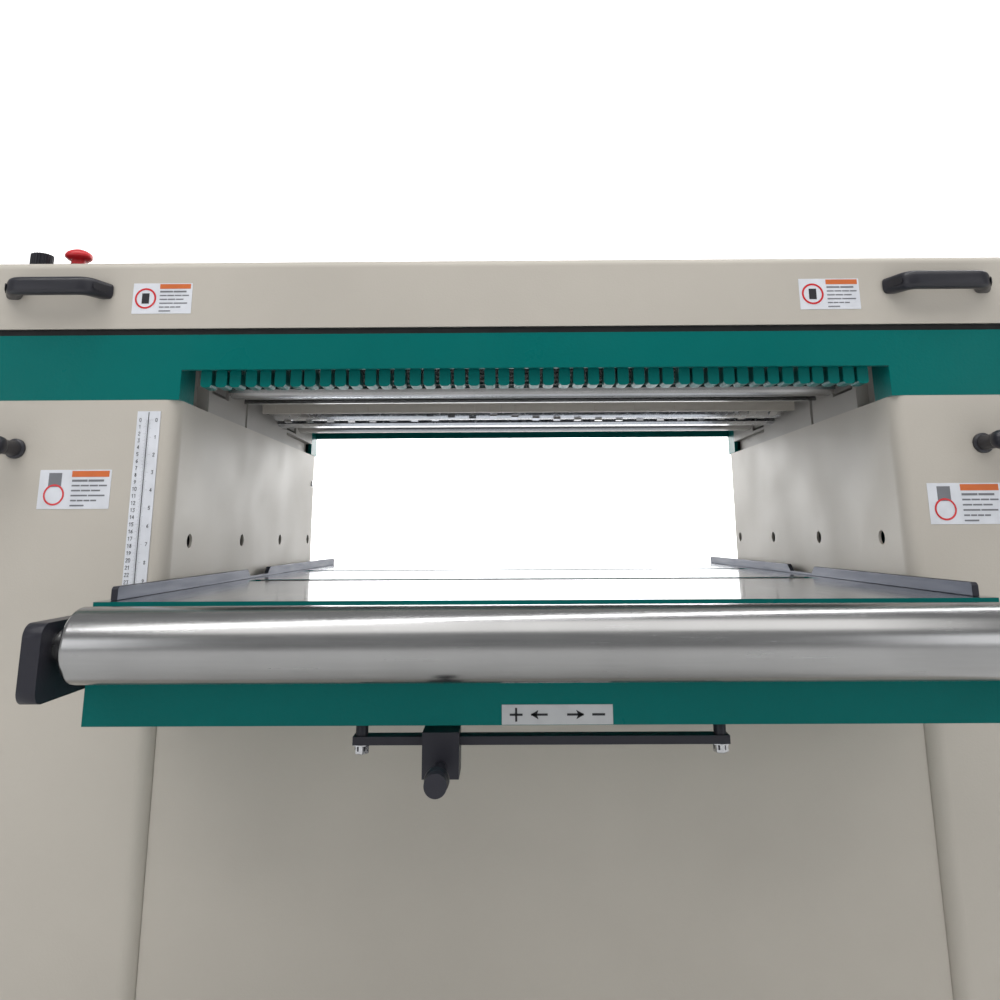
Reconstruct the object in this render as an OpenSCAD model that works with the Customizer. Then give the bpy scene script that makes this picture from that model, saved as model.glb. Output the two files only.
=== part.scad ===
// Wide thickness planer: a lifting table between two columns under a cutting head.
// X runs across the feed, the boards travel along +Y, Z is up, the floor is Z = 0.

/* [Body] */
// Overall width of the casing across the feed
body_w = 1680; // [1660:10:1760]
// Depth of the casing along the feed
body_d = 878; // [860:2:920]
// Height of the top of the columns
column_top = 916; // [912:1:920]
// Height of the green head frame above the columns
frame_h = 99; // [90:1:110]
// Height of the hood's front face
hood_h = 107; // [100:1:130]
// Gap filled by the seal between frame and hood
seal_h = 10; // [6:1:12]
// Radius of the bends at the column corners
bend_r = 20; // [10:1:30]
// Thickness of the casing sheet
sheet = 4; // [3:1:6]
// Height of the base between the columns
base_top = 490; // [470:5:495]

/* [Tunnel] */
// Distance between the two inner walls
tunnel_w = 1050; // [1046:1:1060]
// Sideways offset of the tunnel from the middle of the casing
tunnel_x = 55; // [40:1:60]
// Height of the notch that the head frame has above the columns
notch_h = 45; // [36:1:46]
// Diameter of the holes in the inner walls
wall_hole_d = 21; // [15:1:25]

/* [Table] */
// Width of the table
table_w = 1040; // [1030:1:1040]
// Length of the table along the feed
table_l = 1292; // [1280:2:1300]
// Height of the table top at its lowest place
table_z = 645; // [643:1:650]
// Depth of the apron below the table top
apron_h = 134; // [120:1:136]
// Thickness of the table plate
plate_t = 40; // [35:1:45]
// Radius of the infeed and outfeed support rollers
support_r = 40; // [35:1:42]
// Length of the support rollers
support_l = 1020; // [1000:1:1022]

/* [Head] */
// Radius of the cutting circle
cut_r = 65; // [60:1:66]
// Height of the cutting circle's lowest point
cut_z = 943; // [940:1:946]
// Number of kickback fingers
finger_n = 45; // [30:1:45]
// Distance between kickback fingers
finger_pitch = 22.4; // [20:0.2:22.4]
// Radius of the two feed rollers
feed_r = 45; // [40:1:46]

/* [Lift] */
// Distance of the posts from the tunnel's middle across the feed
post_x = 380; // [350:5:400]
// Distance of the posts from the middle along the feed
post_y = 290; // [280:5:300]
// Outer radius of a table post
post_r = 38; // [34:1:40]
// Radius of a lead screw
screw_r = 15; // [12:1:18]

/* [Hidden] */
$fn = 48;

beige = "#BEB7AB";
green = "#0F6E68";
steel = "#A8AAAF";
black = "#26262C";
bronze = "#A0793C";

// Running clearance between a shaft and its bore, and the gap left between loose neighbours
fit = 0.06;
gap = 0.5;

half_w = body_w / 2;
half_d = body_d / 2;
wall_l = tunnel_x - tunnel_w / 2;
wall_r = tunnel_x + tunnel_w / 2;
frame_top = column_top + frame_h;
hood_z = frame_top + seal_h;
hood_top = hood_z + hood_h;
column_z = 60;
door_t = 16;
hinge_y = half_d + 11;
hinge_z = hood_z - 2;
hood_hinge_x = [-600, 0, 600];
port_y = 200;
port_r = 100;
control_y = -374;
hinge_heights = [140, 480, 800];

feed_z = cut_z + 3 + feed_r;
infeed_y = -269;
outfeed_y = 189;
axis_z = cut_z + cut_r;
drum_l = 1010;
drum_x = tunnel_x - drum_l / 2;
casting_t = 50;
gear_x = 700;
gear_y = -40;
gear_z = 700;
chain_x = wall_r + casting_t + 22;
motor_x = -260;
motor_z = 240;
belt_x = wall_l - casting_t - 72;
pulley_w = 56;
cut_pulley_r = 65;
motor_pulley_r = 85;
beam_d = 56;
finger_y = -half_d + 28;
finger_z = cut_z + 47;
finger_shaft_r = 8;
breaker_y = -96;
breaker_z = cut_z + 103;

edge_y = table_l / 2;
apron_z = table_z - apron_h;
support_y = edge_y + 50;
support_z = table_z - 1 - support_r;
scale_zero = 886;
strip_t = 8;
bracket_in = 527;
bracket_t = 20;
bed_y = 190;
bed_r = 25;
bed_z = table_z + 0.3 - bed_r;
bar_y = -625;
bar_z = 488;
bar_t = 9;
bar_w = 20;
lever_x = tunnel_x - 118;

// A box between two corners
module block(a, b) {
    translate(a) cube(b - a);
}

// A round bar along X
module bar_x(x0, x1, y, z, r) {
    translate([x0, y, z]) rotate([0, 90, 0]) cylinder(h = x1 - x0, r = r);
}

// A round bar along Y
module bar_y(y0, y1, x, z, r) {
    translate([x, y0, z]) rotate([-90, 0, 0]) cylinder(h = y1 - y0, r = r);
}

// An outline in the Y-Z plane pushed along X
module along_x(x0, x1) {
    translate([x0, 0, 0]) rotate([90, 0, 90]) linear_extrude(x1 - x0) children();
}

// A rectangle with round corners, from its low corner
module round_rect(w, d, r) {
    translate([r, 0]) square([w - 2 * r, d]);
    translate([0, r]) square([w, d - 2 * r]);
    for (x = [r, w - r], y = [r, d - r]) translate([x, y]) circle(r);
}

// The four places under the table where the posts stand
module at_posts() {
    for (x = [-post_x, post_x], y = [-post_y, post_y]) translate([tunnel_x + x, y, 0]) children();
}

// Outline of a wheel with square teeth of a given depth
module toothed_outline(r, teeth, depth = 5) {
    step = 360 / teeth;
    polygon([for (i = [0 : teeth - 1], k = [0 : 3])
        let (a = (i + k / 4) * step, q = k < 2 ? r : r - depth)
        [q * cos(a), q * sin(a)]]);
}

// The two ends of the outer tangent from one disc to the next, each disc being [x, y, r]
function tangent(p, q, grow) =
    let (
        d = [q[0] - p[0], q[1] - p[1]],
        a = atan2(d[1], d[0]) - acos((p[2] - q[2]) / norm(d)),
        n = [cos(a), sin(a)]
    )
    [[p[0], p[1]] + (p[2] + grow) * n, [q[0], q[1]] + (q[2] + grow) * n];

// Area inside a band stretched round discs that are listed counter-clockwise
module loop_outline(discs, grow) {
    n = len(discs);
    polygon([for (i = [0 : n - 1]) each tangent(discs[i], discs[(i + 1) % n], grow)]);
    for (c = discs) translate([c[0], c[1]]) circle(c[2] + grow);
}

// ---- casing ----

module base_cabinet() {
    front = -half_d + 14;
    color(beige) difference() {
        union() {
            block([-half_w + 8, -half_d + 8, 30], [half_w - 8, half_d - 8, column_z]);
            block([wall_l, front, column_z - 1], [wall_r, -front, base_top]);
        }
        block([wall_l - 1, front + sheet, 66], [wall_r + 1, -front - sheet, base_top - 8]);
        at_posts() translate([0, 0, base_top - 9]) cylinder(h = 10, r = 55);
        for (x = [-620, 620], y = [-320, 320]) {
            translate([x, y, 29]) cylinder(h = column_z - 28, r = 9);
        }
        for (x = [-700, 700], y = [-330, 330]) {
            translate([x, y, 29]) cylinder(h = 22, r = 8);
        }
    }
}

// Casing of one column of width w, open towards its door at +X
module column_shell(w) {
    depth = w - door_t;
    linear_extrude(column_top - column_z) difference() {
        translate([0, -half_d]) round_rect(w, body_d, bend_r);
        translate([sheet, -half_d + sheet]) {
            round_rect(w + 60, body_d - 2 * sheet, bend_r - sheet);
        }
        translate([depth, -half_d - 1]) square([w, body_d + 2]);
    }
}

// Holes through the inner wall of a column, which stands at x = 0
module wall_holes() {
    for (y = [-359, -111, 141, 385]) bar_x(-1, sheet + 1, y, 712, wall_hole_d / 2);
}

// Lower knuckles of a door's hinges, each with its pin, in the left-hand place
module hinge_pins() {
    for (z = hinge_heights) translate([-half_w - 8, half_d + 2, z]) {
        translate([0, 0, -30]) cylinder(h = 30 - gap, r = 6);
        translate([0, 0, -30]) cylinder(h = 80, r = 3);
        translate([0, -2, -30]) cube([44, 4, 30 - gap]);
    }
}

module left_column() {
    color(beige) hinge_pins();
    color(beige) difference() {
        translate([wall_l, 0, column_z]) mirror([1, 0, 0]) column_shell(half_w + wall_l);
        translate([wall_l - sheet, 0, 0]) wall_holes();
        bar_x(wall_l - sheet - 1, wall_l + 1, 0, motor_z, 45);
        bar_y(half_d - sheet - 1, half_d + 1, -700, 200, 12);
    }
}

module right_column() {
    color(beige) mirror([1, 0, 0]) hinge_pins();
    color(beige) difference() {
        translate([wall_r, 0, column_z]) column_shell(half_w - wall_r);
        translate([wall_r, 0, 0]) wall_holes();
    }
}

// One folded sheet door in the left-hand place
module door_panel() {
    y0 = -half_d + 3;
    y1 = half_d - 3;
    z0 = column_z + 8;
    z1 = column_top - 8;
    difference() {
        along_x(-half_w, -half_w + door_t - gap) {
            translate([y0, z0]) round_rect(y1 - y0, z1 - z0, 8);
        }
        along_x(-half_w + sheet, -half_w + door_t) {
            translate([y0 + sheet, z0 + sheet]) {
                round_rect(y1 - y0 - 2 * sheet, z1 - z0 - 2 * sheet, 5);
            }
        }
        for (i = [0 : 7]) {
            block([-half_w - 1, -260, 150 + i * 22], [-half_w + sheet + 1, -60, 158 + i * 22]);
        }
        translate([-half_w - 1, y0 + 40, 520]) cube([sheet + 2, 26, 90]);
    }
    for (z = hinge_heights) difference() {
        union() {
            translate([-half_w - 8, half_d + 2, z]) cylinder(h = 60, r = 6);
            block([-half_w - 8, half_d - 24, z], [-half_w, half_d + 2, z + 60]);
        }
        translate([-half_w - 8, half_d + 2, z - 1]) cylinder(h = 62, r = 3 + fit);
    }
}

module left_door() {
    color(beige) door_panel();
}

module right_door() {
    color(beige) mirror([1, 0, 0]) door_panel();
}

module leveling_feet() {
    color(black) for (x = [-700, 700], y = [-330, 330]) translate([x, y, 0]) {
        cylinder(h = 14, r = 36);
        translate([0, 0, 14]) cylinder(h = 37, r = 8);
        translate([0, 0, 18]) cylinder(h = 11.9, r = 14, $fn = 6);
    }
}

module cable_gland() {
    color(black) translate([-700, half_d - sheet - 10, 200]) rotate([-90, 0, 0]) difference() {
        union() {
            cylinder(h = 34, r = 12);
            translate([0, 0, 10 + sheet]) cylinder(h = 10, r = 19, $fn = 6);
            translate([0, 0, 4]) cylinder(h = 6, r = 19, $fn = 6);
        }
        translate([0, 0, -1]) cylinder(h = 50, r = 8);
    }
}

module thickness_scale() {
    x = tunnel_x - 567;
    color("white") block([x - 17, -half_d - 1.5, 560], [x + 17, -half_d, 899]);
}

// Horizontal pull handle on a column: two round feet and a bar
module pull_handle(x) {
    z = table_z + 200;
    y = -half_d - 46;
    for (side = [-1, 1]) bar_y(y + 6, -half_d, x + side * 54, z, 11);
    bar_x(x - 68, x + 68, y, z, 14);
}

module pull_handles() {
    color(black) for (side = [-1, 1]) pull_handle(side * 757);
}

// ---- head ----

// Cross-section of a head beam channel between two heights, open towards the inside
module beam_channel(x0, x1, z0) {
    difference() {
        block([x0, -half_d, z0], [x1, -half_d + beam_d, frame_top]);
        block([x0 - 1, -half_d + 8, z0 + 8], [x1 + 1, -half_d + beam_d + 1, frame_top - 8]);
    }
}

// Part of a head beam that is open below and towards the inside
module beam_angle(x0, x1, z0) {
    block([x0, -half_d, z0], [x1, -half_d + 8, frame_top]);
    block([x0, -half_d, frame_top - 8], [x1, -half_d + beam_d, frame_top]);
}

// Front half of the head frame: outer lengths rest on the columns, the middle is raised
module head_beam() {
    beam_channel(-half_w, wall_l, column_top);
    beam_angle(wall_l, wall_r, column_top + notch_h);
    beam_channel(wall_r, half_w, column_top);
    for (x = [-half_w, wall_l - 8, wall_r, half_w - 8]) {
        block([x, -half_d, column_top], [x + 8, -half_d + beam_d, frame_top]);
    }
}

module head_frame() {
    inner_d = half_d - beam_d;
    color(green) {
        difference() {
            head_beam();
            bar_x(wall_l - 9, wall_r + 9, finger_y, finger_z, finger_shaft_r);
        }
        mirror([0, 1, 0]) head_beam();
        for (x = [-half_w, half_w - 8]) {
            block([x, -inner_d, column_top], [x + 8, inner_d, frame_top]);
        }
    }
}

// Side casting that carries the shafts, in the left-hand place and against the wall plane
module head_casting() {
    x0 = wall_l - casting_t;
    z0 = column_top;
    z1 = frame_top + 55;
    inner = half_d - beam_d;
    difference() {
        block([x0, -inner, z0], [wall_l, inner, z1]);
        block([wall_l - 20, -inner - 1, z0 - 1], [wall_l + 1, -inner + 62, z1 + 1]);
        block([wall_l - 30, -133, z0 - 1], [wall_l + 1, -122, z1 + 1]);
        block([wall_l - 14, 151, z0 - 1], [wall_l + 1, inner + 1, cut_z]);
        bar_x(x0 - 1, wall_l + 1, 0, axis_z, 48);
        for (y = [infeed_y, outfeed_y]) {
            block([x0 - 1, y - 40, feed_z - 42], [wall_l + 1, y + 40, feed_z + 48]);
        }
        bar_x(x0 - 1, wall_l + 1, breaker_y, breaker_z, 8);
    }
}

module head_castings() {
    color(steel) {
        head_casting();
        translate([2 * tunnel_x, 0, 0]) mirror([1, 0, 0]) head_casting();
    }
}

module cutterhead_bearings() {
    color(steel) for (x = [wall_l - casting_t, wall_r]) difference() {
        bar_x(x, x + casting_t, 0, axis_z, 48);
        bar_x(x - 1, x + casting_t + 1, 0, axis_z, 25 + fit);
    }
}

module pressure_bar() {
    y = 92;
    color(steel) difference() {
        along_x(wall_l, wall_r) polygon([
            [y - 16, cut_z + 8], [y - 4, cut_z + 4], [y + 22, cut_z + 4], [y + 26, cut_z + 12],
            [y + 26, cut_z + 40], [y + 10, cut_z + 54], [y - 2, cut_z + 54]
        ]);
        for (i = [-4 : 4]) {
            translate([tunnel_x + i * 110, y + 12, cut_z + 30]) cylinder(h = 40, r = 5);
        }
    }
}

module guard_plate() {
    y = -half_d + 233;
    n = 6;
    color(steel) difference() {
        block([drum_x, y, cut_z + 5], [drum_x + drum_l, y + 9, cut_z + 46]);
        for (i = [0 : n - 1]) {
            bar_x(drum_x - 1, drum_x + drum_l + 1, y - 1, cut_z + 12 + i * 6, 2.4);
        }
    }
    color(steel) for (x = [drum_x - 20, drum_x + drum_l - 20]) {
        block([x, y + 9, cut_z + 20], [x + 40, y + 17, cut_z + 40]);
    }
}

module kickback_shaft() {
    color(steel) bar_x(wall_l - 8, wall_r + 8, finger_y, finger_z, finger_shaft_r);
}

// Side outline of a kickback finger, with its pivot at the origin
module finger_outline() {
    drop = finger_z - cut_z + 6;
    difference() {
        union() {
            circle(15);
            translate([-14, -drop + 6]) square([28, drop - 6]);
            translate([-8, -drop]) square([16, 8]);
            for (y = [-8, 8]) translate([y, -drop + 6]) circle(6);
        }
        circle(finger_shaft_r + fit);
    }
}

module kickback_fingers() {
    first = tunnel_x - (finger_n - 1) / 2 * finger_pitch;
    color(green) for (i = [0 : finger_n - 1]) {
        x = first + i * finger_pitch;
        translate([0, finger_y, finger_z]) along_x(x - 8.25, x + 8.25) finger_outline();
    }
}

module chip_breaker() {
    n = 40;
    seg = drum_l / n;
    color(beige) {
        for (i = [0 : n - 1]) {
            x = drum_x + i * seg;
            along_x(x + 0.15, x + seg - 0.15) difference() {
                polygon([
                    [breaker_y - 6, breaker_z - 12], [breaker_y - 6, cut_z + 26],
                    [breaker_y - 2, cut_z + 4], [breaker_y + 8, cut_z + 4],
                    [breaker_y + 14, cut_z + 30], [breaker_y + 12, breaker_z],
                    [breaker_y + 12, breaker_z + 14], [breaker_y - 12, breaker_z + 14],
                    [breaker_y - 12, breaker_z - 4]
                ]);
                translate([breaker_y, breaker_z]) circle(8);
            }
        }
        bar_x(wall_l - casting_t + 4, wall_r + casting_t - 4, breaker_y, breaker_z, 8 - fit);
    }
}

// ---- cutterhead and its drive ----

module cutterhead_drum() {
    color(steel) {
        bar_x(drum_x, drum_x + drum_l, 0, axis_z, cut_r - 4);
        bar_x(belt_x - 4, drum_x, 0, axis_z, 25);
        bar_x(drum_x + drum_l, wall_r + casting_t + 6, 0, axis_z, 25);
    }
}

// Square inserts set along six spiral rows
module cutter_inserts() {
    rows = 6;
    per_row = 24;
    step = drum_l / per_row;
    color("silver") for (row = [0 : rows - 1], i = [0 : per_row - 1]) {
        a = row * 360 / rows + i * 4;
        translate([drum_x + (i + 0.5) * step + (row % 2) * 6 - 3, 0, axis_z]) rotate([a, 0, 0]) {
            translate([-7, -7, cut_r - 12]) cube([14, 14, 12 - 0.4]);
        }
    }
}

// A grooved belt pulley centred on the belt plane
module belt_pulley(y, z, r, bore) {
    grooves = 4;
    pitch = pulley_w / grooves;
    translate([belt_x, y, z]) rotate([0, 90, 0]) difference() {
        cylinder(h = pulley_w, r = r);
        for (i = [0 : grooves - 1]) {
            translate([0, 0, (i + 0.5) * pitch]) rotate_extrude($fn = 64) {
                translate([r, 0]) polygon([[1, -5], [1, 5], [-9, 3], [-9, -3]]);
            }
        }
        translate([0, 0, -1]) cylinder(h = pulley_w + 2, r = bore);
    }
}

module cutterhead_pulley() {
    color(steel) belt_pulley(0, axis_z, cut_pulley_r, 25);
}

module motor_pulley() {
    color(steel) {
        belt_pulley(0, motor_z, motor_pulley_r, 19);
        bar_x(belt_x, motor_x + 38, 0, motor_z, 19);
    }
}

// Outline of a belt loop in the Y-Z plane
module belt_outline(grow) {
    loop_outline([[0, axis_z, cut_pulley_r], [0, motor_z, motor_pulley_r]], grow);
}

module drive_belts() {
    grooves = 4;
    pitch = pulley_w / grooves;
    color(black) for (i = [0 : grooves - 1]) {
        x = belt_x + (i + 0.5) * pitch;
        along_x(x - 2.5, x + 2.5) difference() {
            belt_outline(3);
            belt_outline(-8.4);
        }
    }
}

module main_motor() {
    r = 130;
    x0 = motor_x;
    x1 = motor_x + 410;
    color(green) difference() {
        union() {
            bar_x(x0, x1, 0, motor_z, r);
            for (a = [0 : 30 : 359]) {
                translate([x0 + 40, 0, motor_z]) rotate([a, 0, 0]) {
                    translate([0, -3, r - 2]) cube([x1 - x0 - 80, 6, 12]);
                }
            }
            block([x0 + 60, -120, 66], [x1 - 60, 120, motor_z - 90]);
            block([x0 + 90, -60, motor_z + 100], [x0 + 220, 60, motor_z + 190]);
        }
        bar_x(x0 - 1, x0 + 40, 0, motor_z, 19 + fit);
    }
}

// ---- feed drive ----

// Sprocket on the feed chain's plane
module chain_sprocket(y, z, r, teeth, bore) {
    translate([0, y, z]) difference() {
        along_x(chain_x, chain_x + 10) toothed_outline(r, teeth);
        bar_x(chain_x - 1, chain_x + 11, 0, 0, bore);
    }
}

// Feed roller with its journals; r is the body's radius
module feed_roller_body(y, r) {
    bar_x(drum_x, drum_x + drum_l, y, feed_z, r);
    bar_x(wall_l - casting_t + 2, drum_x, y, feed_z, 20);
}

module infeed_roller() {
    teeth = 36;
    color(steel) {
        translate([0, infeed_y, feed_z]) along_x(drum_x, drum_x + drum_l) {
            polygon([for (i = [0 : teeth - 1], k = [0 : 1])
                let (a = (i + k * 0.5) * 360 / teeth, q = k == 0 ? feed_r : feed_r - 4)
                [q * cos(a), q * sin(a)]]);
        }
        bar_x(wall_l - casting_t + 2, drum_x, infeed_y, feed_z, 20);
        bar_x(drum_x + drum_l, chain_x + 14, infeed_y, feed_z, 20);
    }
}

module outfeed_roller() {
    color(steel) {
        feed_roller_body(outfeed_y, feed_r);
        bar_x(drum_x + drum_l, chain_x + 14, outfeed_y, feed_z, 20);
    }
}

module bearing_blocks(y) {
    color(steel) for (x = [wall_l - casting_t + 4, wall_r + 4]) difference() {
        block([x, y - 39.5, feed_z - 36], [x + casting_t - 8, y + 39.5, feed_z + 36]);
        bar_x(x - 1, x + casting_t, y, feed_z, 20 + fit);
    }
}

module infeed_bearing_blocks() {
    bearing_blocks(infeed_y);
}

module outfeed_bearing_blocks() {
    bearing_blocks(outfeed_y);
}

module infeed_sprocket() {
    color(steel) chain_sprocket(infeed_y, feed_z, 60, 20, 20);
}

module outfeed_sprocket() {
    color(steel) chain_sprocket(outfeed_y, feed_z, 60, 20, 20);
}

module feed_drive_sprocket() {
    color(steel) {
        chain_sprocket(gear_y, gear_z, 42, 14, 14);
        bar_x(chain_x, gear_x + 36, gear_y, gear_z, 14);
    }
}

// Outline of the feed chain round its three sprockets
module chain_outline(grow) {
    loop_outline([[infeed_y, feed_z, 60], [gear_y, gear_z, 42], [outfeed_y, feed_z, 60]], grow);
}

module feed_chain() {
    color(black) along_x(chain_x + 1, chain_x + 9) difference() {
        chain_outline(12);
        chain_outline(4.5);
    }
}

module feed_gearmotor() {
    x0 = gear_x;
    color(green) difference() {
        union() {
            block([x0, gear_y - 70, gear_z - 70], [x0 + 90, gear_y + 70, gear_z + 70]);
            translate([x0 + 45, gear_y, gear_z - 70 - 180]) cylinder(h = 180, r = 60);
            block([wall_r + sheet, gear_y - 60, gear_z - 240], [x0 + 20, gear_y + 60, gear_z - 220]);
        }
        bar_x(x0 - 1, x0 + 40, gear_y, gear_z, 14 + fit);
    }
}

// ---- table and its lift ----

module table() {
    x0 = tunnel_x - table_w / 2;
    x1 = tunnel_x + table_w / 2;
    under = table_z - plate_t;
    slot = 480;
    color(green) difference() {
        block([x0, -edge_y, apron_z], [x1, edge_y, table_z]);
        block([x0 + 15, -edge_y + 20, apron_z - 1], [x1 - 15, edge_y - 20, under]);
        for (y = [-bed_y, bed_y]) {
            block([tunnel_x - slot, y - 27, under - 1], [tunnel_x + slot, y + 27, table_z + 1]);
        }
    }
    color(green) for (y = [-380, 0, 380]) {
        block([x0 + 15, y - 8, apron_z + 20], [x1 - 15, y + 8, under]);
    }
}

module table_posts() {
    under = table_z - plate_t;
    bottom = 82;
    color(steel) at_posts() difference() {
        union() {
            translate([0, 0, bottom]) cylinder(h = under - bottom, r = post_r);
            translate([0, 0, under - 14]) cylinder(h = 14, r = post_r + 22);
        }
        translate([0, 0, bottom - 1]) cylinder(h = 60, r = screw_r + fit);
        translate([0, 0, bottom + 50]) cylinder(h = 380, r = post_r - 8);
    }
}

module guide_collars() {
    color(bronze) at_posts() difference() {
        union() {
            translate([0, 0, 400]) cylinder(h = base_top - 400, r = 55);
            translate([0, 0, base_top]) cylinder(h = 12, r = 72);
        }
        translate([0, 0, 399]) cylinder(h = 120, r = post_r + fit);
    }
}

// Lead screw with its sprocket and thrust flange, on the Z axis
module lead_screw() {
    color(steel) {
        translate([0, 0, 67]) cylinder(h = 440 - 67, r = screw_r);
        translate([0, 0, 70]) linear_extrude(8) toothed_outline(44, 16);
    }
}

module lead_screw_front_left() {
    translate([tunnel_x - post_x, -post_y, 0]) lead_screw();
}

module lead_screw_front_right() {
    translate([tunnel_x + post_x, -post_y, 0]) lead_screw();
}

module lead_screw_rear_left() {
    translate([tunnel_x - post_x, post_y, 0]) lead_screw();
}

module lead_screw_rear_right() {
    translate([tunnel_x + post_x, post_y, 0]) lead_screw();
}

// Rounded loop of the lift chain in the X-Y plane
module lift_loop(grow) {
    w = 2 * (post_x + 44 + grow);
    d = 2 * (post_y + 44 + grow);
    translate([tunnel_x - w / 2, -d / 2]) round_rect(w, d, 44 + grow);
}

module lift_chain() {
    color(black) translate([0, 0, 71]) linear_extrude(6) difference() {
        lift_loop(9);
        lift_loop(1);
    }
}

module lift_motor() {
    y = -post_y + 20;
    color(green) translate([tunnel_x, y, 66.2]) {
        cylinder(h = 16, r = 52);
        translate([0, 0, 16]) cylinder(h = 150, r = 62);
        translate([-45, -45, 166]) cube([90, 90, 50]);
    }
}

// Profile of a side strip: full height except under the cutterhead
module strip_profile() {
    h = 16;
    low = 4;
    y0 = -626;
    y1 = 598;
    polygon([
        [y0, 0], [y0, h - 3], [y0 + 3, h], [-136, h], [-121, low], [-14, low], [1, h],
        [y1, h], [y1, 0]
    ]);
}

module table_strips() {
    color(steel) for (x = [tunnel_x - support_l / 2, tunnel_x + support_l / 2 - strip_t]) {
        translate([0, 0, table_z]) along_x(x, x + strip_t) strip_profile();
    }
}

// Plates and spacers that hold one support roller in front of the table
module bracket_pair() {
    y0 = -support_y - 38;
    z0 = table_z - 96;
    for (side = [-1, 1]) {
        x = tunnel_x + side * (bracket_in + bracket_t / 2) - bracket_t / 2;
        s = tunnel_x + side * (table_w + bracket_in * 2) / 4 - (bracket_in - table_w / 2) / 2;
        difference() {
            along_x(x, x + bracket_t) translate([y0, z0]) round_rect(272, 81, 14);
            bar_x(x - 1, x + bracket_t + 1, -support_y, support_z, 15 + fit);
        }
        for (y = [-620, -520]) {
            bar_x(s, s + bracket_in - table_w / 2, y, table_z - 50, 16);
        }
    }
}

module roller_brackets() {
    color(black) {
        bracket_pair();
        mirror([0, 1, 0]) bracket_pair();
    }
}

// Support roller on its through shaft
module support_roller(y) {
    reach = bracket_in + bracket_t - 4;
    bar_x(tunnel_x - support_l / 2, tunnel_x + support_l / 2, y, support_z, support_r);
    bar_x(tunnel_x - reach, tunnel_x + reach, y, support_z, 15);
}

module front_roller() {
    color(steel) support_roller(-support_y);
}

module rear_roller() {
    color(steel) support_roller(support_y);
}

module bed_roller_blocks() {
    color(black) for (side = [-1, 1], y = [-bed_y, bed_y]) {
        x = tunnel_x + side * 471 - 8;
        difference() {
            block([x, y - 26.5, bed_z - 34], [x + 16, y + 26.5, bed_z + 16]);
            bar_x(x - 1, x + 17, y, bed_z, 10 + fit);
        }
    }
}

module bed_roller(y) {
    color(steel) {
        bar_x(tunnel_x - 462, tunnel_x + 462, y, bed_z, bed_r);
        bar_x(tunnel_x - 478, tunnel_x + 478, y, bed_z, 10);
    }
}

module front_bed_roller() {
    bed_roller(-bed_y);
}

module rear_bed_roller() {
    bed_roller(bed_y);
}

module lever_guide_bar() {
    x0 = tunnel_x - 218;
    x1 = tunnel_x + 206;
    color(black) {
        block([x0, bar_y - bar_w / 2, bar_z], [x1, bar_y + bar_w / 2, bar_z + bar_t]);
        for (x = [x0 + 9, x1 - 9]) {
            translate([x, bar_y, bar_z + bar_t]) cylinder(h = apron_z - bar_z - bar_t, r = 7);
            translate([x, bar_y, bar_z - 7]) cylinder(h = 7, r = 8, $fn = 6);
        }
    }
}

module bed_roller_lever() {
    w = 41;
    color(black) difference() {
        union() {
            block([lever_x - w / 2, bar_y - 23, bar_z - 32], [lever_x + w / 2, bar_y + 23, bar_z + bar_t + 7]);
            bar_y(bar_y - 62, bar_y - 23, lever_x, bar_z - 20, 7);
            bar_y(bar_y - 90, bar_y - 60, lever_x, bar_z - 20, 12);
        }
        block(
            [lever_x - w, bar_y - bar_w / 2 - 0.4, bar_z - 0.4],
            [lever_x + w, bar_y + bar_w / 2 + 0.4, bar_z + bar_t + 0.4]
        );
    }
}

module scale_pointer() {
    x = tunnel_x - bracket_in - bracket_t;
    z = scale_zero - (cut_z - table_z);
    color("red") {
        block([x, -half_d - 23, z - 6], [x + bracket_t, -half_d - 3, z + 6]);
        block([x - 22, -half_d - 8, z - 1.5], [x, -half_d - 3, z + 1.5]);
    }
}

// ---- hood and controls ----

module hood_profile(inset) {
    r = 12;
    translate([-half_d + inset, hood_z - 30]) {
        round_rect(body_d - 2 * inset, hood_h + 30 - inset, r - inset);
    }
}

module hood() {
    color(beige) difference() {
        intersection() {
            along_x(-half_w, half_w) hood_profile(0);
            block([-half_w, -half_d, hood_z], [half_w, half_d, hood_top]);
        }
        along_x(-half_w + 3, half_w - 3) hood_profile(3);
        translate([tunnel_x, port_y, hood_top - 10]) cylinder(h = 20, r = port_r - 3);
    }
    color(beige) for (x = hood_hinge_x, side = [-1, 1]) difference() {
        union() {
            bar_x(x + side * 66 - 15, x + side * 66 + 15, hinge_y, hinge_z, 10);
            block([x + side * 66 - 15, half_d, hinge_z + 3], [x + side * 66 + 15, hinge_y, hinge_z + 22]);
        }
        bar_x(x - 90, x + 90, hinge_y, hinge_z, 6 + fit);
    }
}

module hood_seal() {
    w = 10;
    color(black) difference() {
        block([-half_w + 4, -half_d + 4, frame_top], [half_w - 4, half_d - 4, hood_z - gap]);
        block([-half_w + 4 + w, -half_d + 4 + w, frame_top - 1], [half_w - 4 - w, half_d - 4 - w, hood_z]);
    }
}

module hood_hinges() {
    color(steel) for (x = hood_hinge_x) {
        bar_x(x - 81, x + 81, hinge_y, hinge_z, 6);
        block([x - 50, half_d, frame_top - 50], [x + 50, half_d + 4, frame_top - 4]);
        block([x - 50, half_d, frame_top - 12], [x + 50, hinge_y + 4, hinge_z + 3]);
    }
}

// Bridge handle seen from above: a straight grip between two slanted legs
module hood_handle(x) {
    y = -half_d;
    translate([x, 0, hood_z + 45]) linear_extrude(27) polygon([
        [-83, y], [-83, y - 8], [-62, y - 40], [62, y - 40], [83, y - 8], [83, y],
        [56, y], [47, y - 22], [-47, y - 22], [-56, y]
    ]);
}

module hood_handles() {
    color(black) for (side = [-1, 1]) hood_handle(side * 664);
}

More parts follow.
